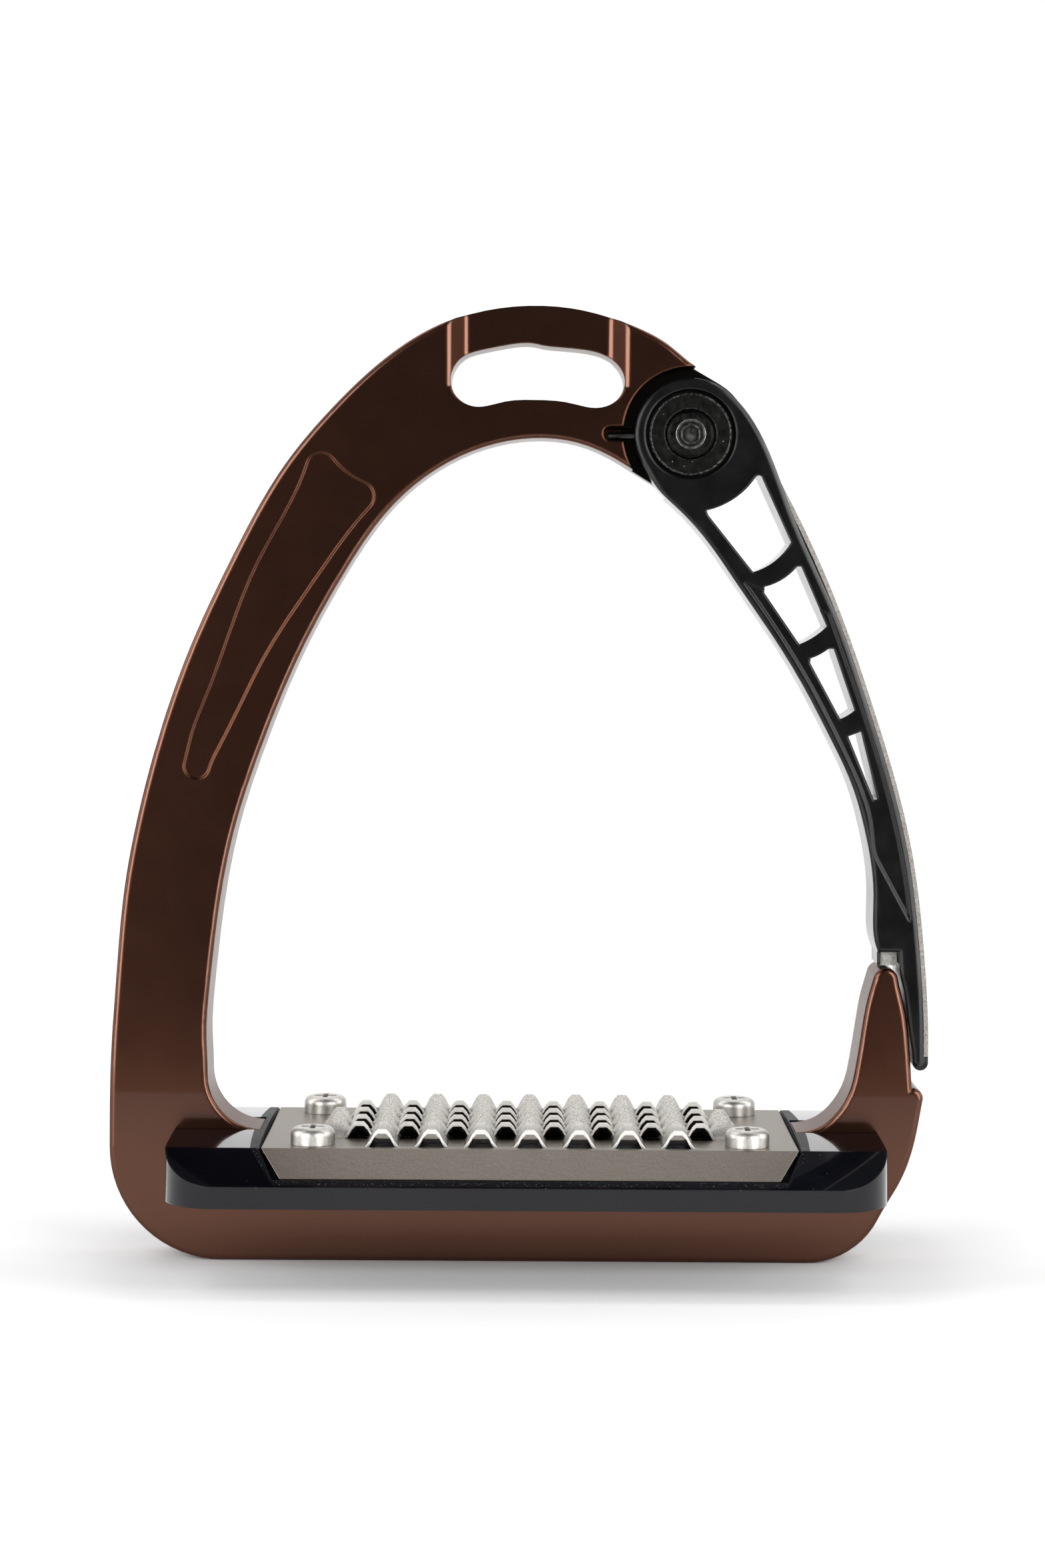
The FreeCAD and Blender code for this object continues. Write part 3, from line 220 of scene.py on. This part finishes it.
def black_screw():
    """Black oxide screw, with a lighter socket floor and bright rings at its hex edge and mouth: painted
    highlights, with bare steel where the key rubs the mouth.
    """
    s = Surface("black_screw", Metallic=1.0)
    x, _, z = s.axes()
    radius = s.maths("DIVIDE", hinge_radius(s, x, z), SCREW_SPAN)
    # Painted highlights: a lighter socket floor, a bright ring at the hex edge and a bright ring at the
    # socket's mouth, where the key also rubs.
    rim = s.ramp(radius, (0.0, 0.55), (0.2, 0.2), (0.36, 0.1), (0.42, 0.6), (0.46, 0.1), (0.57, 0.0),
                 (0.61, 1.0), (0.67, 1.0), (0.71, 0.0))
    wear = s.noise(0.9 * MM, 5.0, 0.6)
    dark = s.ramp(wear, (0.3, (0.010, 0.010, 0.0095)), (0.75, (0.028, 0.0285, 0.027)))
    steel = s.ramp(wear, (0.25, (0.16, 0.16, 0.155)), (0.75, (0.48, 0.48, 0.46)))
    s.set("Base Color", s.blend(rim, dark, steel))
    s.set("Roughness", s.maths("MULTIPLY_ADD", rim, -0.1, s.ramp(wear, (0.3, 0.28), (0.7, 0.42))))
    s.normal(wear, 0.003 * MM, 0.12 * MM)
    return s


def gloss_moulding():
    """Black gloss moulding. The walls beside the tread are left rough and hold bright specks."""
    s = Surface("gloss_moulding", Specular_IOR_Level=0.05, Coat_Weight=1.0, Coat_Roughness=0.02, Coat_IOR=1.4)
    x, _, z = s.axes()
    away = s.maths("ABSOLUTE", s.maths("SUBTRACT", x, plate_middle))
    lean = (plate_half - PLATE_FOOT_HALF) / (plate_high.z - TOOTH_HEIGHT - PLATE_FOOT)
    edge = s.maths("MULTIPLY_ADD", z, lean, plate_half + WALL_MARGIN - lean * TREAD_FACE)
    inside = s.maths("LESS_THAN", s.maths("SUBTRACT", away, edge), 0.0)
    above = s.maths("GREATER_THAN", z, WALL_LOW)
    rough_wall = s.maths("MULTIPLY", inside, above)
    specks = s.maths("MULTIPLY", s.ramp(s.cells(0.5 * MM), (0.08, 1.0), (0.2, 0.0)), rough_wall)
    dust = s.ramp(s.cells(2.6 * MM), (0.018, 0.5), (0.035, 0.0))
    clean = s.ramp(s.noise(18 * MM, 2.0), (0.3, (0.0012, 0.0014, 0.0026)), (0.7, (0.0030, 0.0034, 0.0056)))
    pale = s.maths("MAXIMUM", s.maths("MULTIPLY", specks, 0.5), dust)
    s.set("Base Color", s.blend(pale, clean, (0.3, 0.3, 0.29)))
    gloss = s.ramp(s.noise(9 * MM, 3.0), (0.3, 0.1), (0.7, 0.17))
    s.set("Roughness", s.maths("MULTIPLY_ADD", rough_wall, 0.3, gloss))
    s.set("Coat Weight", s.maths("MULTIPLY_ADD", rough_wall, -0.9, 1.0))
    relief = s.maths("MULTIPLY", s.noise(0.4 * MM, 5.0), rough_wall)
    s.normal(relief, 0.12 * MM, 0.55 * MM)
    return s


def tread_steel():
    """Blasted stainless sheet, satin where it is flat and frosted on the teeth, with bright cut edges and
    painted shade in the teeth's hollows.
    """
    s = Surface("tread_steel", Metallic=1.0)
    _, y, z = s.axes()
    height = s.maths("DIVIDE", s.maths("SUBTRACT", z, TREAD_FACE), TOOTH_HEIGHT, clamp=True)
    raised = s.ramp(height, (0.02, 0.0), (0.22, 1.0))
    # Painted shade: each row is darkened towards its front, in the hollows of its teeth, where shade falls.
    # The front row is darkened less.
    along = s.maths("FRACT", s.maths("DIVIDE", s.maths("ADD", y, -FRONT_ROW_END), TOOTH_ROW))
    behind = s.maths("GREATER_THAN", y, FRONT_ROW_END)
    depth = s.maths("MULTIPLY_ADD", behind, 0.5, 0.3)
    shade = s.ramp(along, (0.0, 1.0), (0.35, 0.8), (0.72, 0.0))
    painted_hollow_shade = s.maths("MULTIPLY", shade, s.maths("MULTIPLY", raised, depth))
    grain = s.noise(0.22 * MM, 3.0, 0.6)
    cloud = s.noise(6 * MM, 3.0)
    flat = s.blend(cloud, (0.205, 0.180, 0.152), (0.240, 0.212, 0.180))
    flat = s.blend(s.ramp(grain, (0.4, 0.0), (0.7, 1.0)), flat, (0.30, 0.27, 0.235))
    frosted = s.blend(s.ramp(grain, (0.38, 0.0), (0.62, 1.0)), (0.36, 0.34, 0.31), (0.82, 0.80, 0.76))
    wear_and_painted_light = s.blend(raised, flat, frosted)
    wear_and_painted_light = s.blend(painted_hollow_shade, wear_and_painted_light, (0.07, 0.066, 0.060))
    facing = s.node("ShaderNodeNewGeometry").outputs["True Normal"]
    forward = s.node("ShaderNodeSeparateXYZ", [(0, facing)]).outputs["Y"]
    upright = s.maths("LESS_THAN", forward, -0.85)
    cut_edge = s.maths("MULTIPLY", upright, s.maths("GREATER_THAN", z, CUT_EDGE_LOW))
    s.set("Base Color", s.blend(cut_edge, wear_and_painted_light, (0.80, 0.78, 0.74)))
    s.set("Roughness", s.maths("MULTIPLY_ADD", raised, 0.08, s.ramp(grain, (0.3, 0.36), (0.7, 0.46))))
    pits = s.maths("MULTIPLY_ADD", grain, s.maths("MULTIPLY_ADD", raised, 1.6, 0.5), s.noise(0.9 * MM, 3.0))
    s.normal(pits, 0.03 * MM, 0.2 * MM)
    return s


def bright_steel(name, tint):
    """Bright drawn steel with light handling marks."""
    s = Surface(name, Metallic=1.0)
    marks = s.noise(0.5 * MM, 5.0, 0.65, stretch=(1, 1, 0.4))
    base = tuple(0.72 * part for part in tint)
    s.set("Base Color", s.ramp(marks, (0.3, base), (0.7, tint)))
    s.set("Roughness", s.ramp(s.noise(1.1 * MM, 4.0), (0.3, 0.32), (0.7, 0.46)))
    s.normal(marks, 0.01 * MM, 0.35 * MM)
    return s


paint(bronze_lacquer(), "frame")
paint(black_arm(), "safety_arm")
paint(soft_strip("mottled_strip", (0.105, 0.092, 0.080), (0.40, 0.375, 0.345)), "arm_side_strip")
paint(soft_strip("mottled_pad", (0.16, 0.15, 0.135), (0.46, 0.45, 0.42)), "stop_pad")
paint(black_bush(), "pivot_bush")
paint(black_screw(), "pivot_screw")
paint(gloss_moulding(), "footbed_body")
paint(tread_steel(), "tread_plate")
paint(bright_steel("screw_stainless", (0.66, 0.64, 0.60)), "tread_screws")
paint(bright_steel("zinc_plate", (0.62, 0.64, 0.67)),
      "pivot_nut", "pivot_washer", "footbed_screws", "footbed_washers")
paint(bright_steel("spring_wire", (0.34, 0.34, 0.35)), "arm_spring")
paint(bright_steel("brass", (0.72, 0.52, 0.22)), "thrust_washer", "arm_bearing", "tread_inserts")


# ---------------------------------------------------------------- camera, floor and light

def camera():
    """Level view from the front, at about two thirds of the iron's height."""
    data = bpy.data.cameras.new("camera")
    data.lens = 70.0
    data.sensor_width = 36.0
    data.shift_x = -0.0007
    data.shift_y = -0.111
    data.clip_start = 0.01
    data.clip_end = 20.0
    view = bpy.data.objects.new("camera", data)
    place = Matrix.Translation((0.00036, -0.5665, 0.1198))
    level = Matrix.Rotation(math.pi / 2, 4, "X")
    roll = Matrix.Rotation(math.radians(0.35), 4, "Z")
    view.matrix_world = place @ level @ roll
    bpy.context.scene.collection.objects.link(view)
    bpy.context.scene.camera = view


def softbox(name, place, aim, width, height, power):
    data = bpy.data.lights.new(name, "AREA")
    data.shape = "RECTANGLE"
    data.size = width
    data.size_y = height
    data.energy = power
    lamp = bpy.data.objects.new(name, data)
    lamp.location = place
    lamp.rotation_euler = (Vector(aim) - Vector(place)).to_track_quat("-Z", "Y").to_euler()
    bpy.context.scene.collection.objects.link(lamp)


def studio():
    """A white floor that curves up into a wall behind, and soft boxes left, right and above."""
    front = -0.2  # the floor ends here, so that the object's front doesn't mirror it
    wall = 1.6
    wall_top = 3.0
    bend = 0.7
    steps = 16
    half = 2.6
    dim = 0.085
    bright = 1.0
    profile = [(front, 0.0)]
    for step in range(steps + 1):
        angle = math.radians(90 * step / steps)
        profile.append((wall - bend + bend * math.sin(angle), bend - bend * math.cos(angle)))
    profile.append((wall, wall_top))
    points = [(x, y, z) for y, z in profile for x in (-half, half)]
    faces = [(2 * k, 2 * k + 1, 2 * k + 3, 2 * k + 2) for k in range(len(profile) - 1)]
    mesh = bpy.data.meshes.new("sweep")
    mesh.from_pydata(points, [], faces)
    for face in mesh.polygons:
        face.use_smooth = True
    sweep = bpy.data.objects.new("sweep", mesh)
    white = Surface("studio_white", Roughness=0.9, Specular_IOR_Level=0.1)
    white.set("Base Color", white.ramp(white.noise(0.8, 2.0), (0.2, 0.93), (0.8, 0.95)))
    mesh.materials.append(white.material)
    bpy.context.scene.collection.objects.link(sweep)

    world = bpy.data.worlds.new("studio")
    world.use_nodes = True
    background = world.node_tree.nodes["Background"]
    background.inputs["Color"].default_value = (1.0, 1.0, 1.0, 1)
    # The room lights the object and is reflected dimly. Where it is looked at, past the floor, it is white.
    seen = world.node_tree.nodes.new("ShaderNodeLightPath").outputs["Is Camera Ray"]
    level = world.node_tree.nodes.new("ShaderNodeMapRange")
    level.inputs["To Min"].default_value = dim
    level.inputs["To Max"].default_value = bright
    world.node_tree.links.new(seen, level.inputs["Value"])
    world.node_tree.links.new(level.outputs["Result"], background.inputs["Strength"])
    bpy.context.scene.world = world

    centre = (0.0, 0.0, 0.09)
    for side in (-1, 1):
        softbox("front", (side * 0.57, -0.76, 0.2), centre, 0.45, 0.9, 8.0)
        softbox("side", (side * 0.95, -0.1, 0.25), centre, 0.5, 0.7, 3.0)
        softbox("high", (side * 1.2, 0.25, 1.1), (0.0, 0.2, 0.0), 1.0, 1.6, 9.0)
    softbox("wall_wash", (0.0, 0.75, 1.7), (0.0, 1.6, 0.5), 2.6, 0.4, 16.0)


camera()
studio()
bpy.context.scene.view_settings.view_transform = "Standard"
